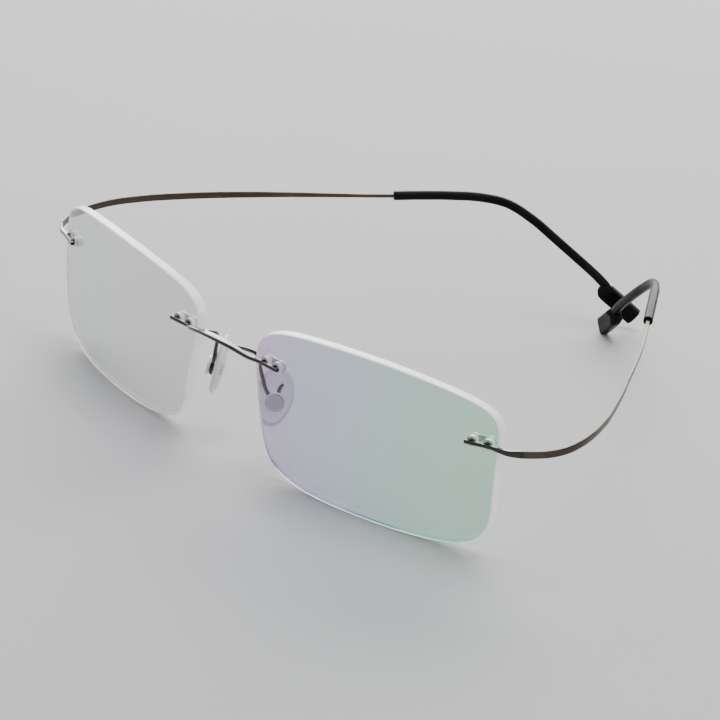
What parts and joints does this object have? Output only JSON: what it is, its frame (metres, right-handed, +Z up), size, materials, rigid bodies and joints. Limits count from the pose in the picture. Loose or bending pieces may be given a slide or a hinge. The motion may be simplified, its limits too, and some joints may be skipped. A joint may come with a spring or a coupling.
{
  "type": "rimless eyeglasses",
  "caption": "Rimless eyeglasses with curved clear lenses, thin metal bridge bar, soft nose pads in wire rings and one-piece sprung temples with black ear tips.",
  "frame": {"origin": "on the surface that the lenses stand on, midway between the lenses, level with the middle of each lens's front face", "axes": "+X towards the wearer's left, +Y back along the temples, +Z up"},
  "size_m": [0.1416, 0.1295, 0.0333],
  "materials": {
    "lens": "clear with an anti-reflection coating and a polished edge",
    "polished_metal": "dark polished",
    "satin_metal": "satin brown",
    "clear_sleeve": "clear",
    "silicone": "clear soft",
    "pad_core": "clear",
    "black_tip": "smooth black"
  },
  "bodies": {
    "frame": {"lens_left": "lens", "lens_right": "lens", "bridge": "polished_metal", "bridge_posts_left": "polished_metal", "bridge_posts_right": "polished_metal", "bridge_bushing_left": "clear_sleeve", "bridge_bushing_right": "clear_sleeve", "pad_arm_left": "polished_metal", "pad_arm_right": "polished_metal", "endpiece_left": "polished_metal", "endpiece_right": "polished_metal", "endpiece_posts_left": "polished_metal", "endpiece_posts_right": "polished_metal", "endpiece_bushing_left": "clear_sleeve", "endpiece_bushing_right": "clear_sleeve"},
    "pad_left": {"nose_pad_left": "silicone", "pad_insert_left": "pad_core"},
    "pad_right": {"nose_pad_right": "silicone", "pad_insert_right": "pad_core"},
    "temple_left": {"temple_left": "satin_metal", "temple_tip_left": "black_tip"},
    "temple_right": {"temple_right": "satin_metal", "temple_tip_right": "black_tip"}
  },
  "joints": [
    {"name": "temple_flex_left", "type": "hinge", "parent": "frame", "child": "temple_left", "pos_m": [0.0669, 0.0106, 0.0232], "axis": [0, 0, -1], "range_deg": [0, 35], "stiffness_Nm_per_rad": 0.08},
    {"name": "temple_flex_right", "type": "hinge", "parent": "frame", "child": "temple_right", "pos_m": [-0.0669, 0.0106, 0.0232], "axis": [0, 0, 1], "range_deg": [0, 35], "stiffness_Nm_per_rad": 0.08},
    {"name": "pad_turn_left", "type": "hinge", "parent": "frame", "child": "pad_left", "pos_m": [0.00965, 0.0033, 0.0142], "axis": [0.7566, -0.6349, 0.1564], "range_deg": [-15, 15]},
    {"name": "pad_turn_right", "type": "hinge", "parent": "frame", "child": "pad_right", "pos_m": [-0.00965, 0.0033, 0.0142], "axis": [-0.7566, -0.6349, 0.1564], "range_deg": [-15, 15]}
  ]
}
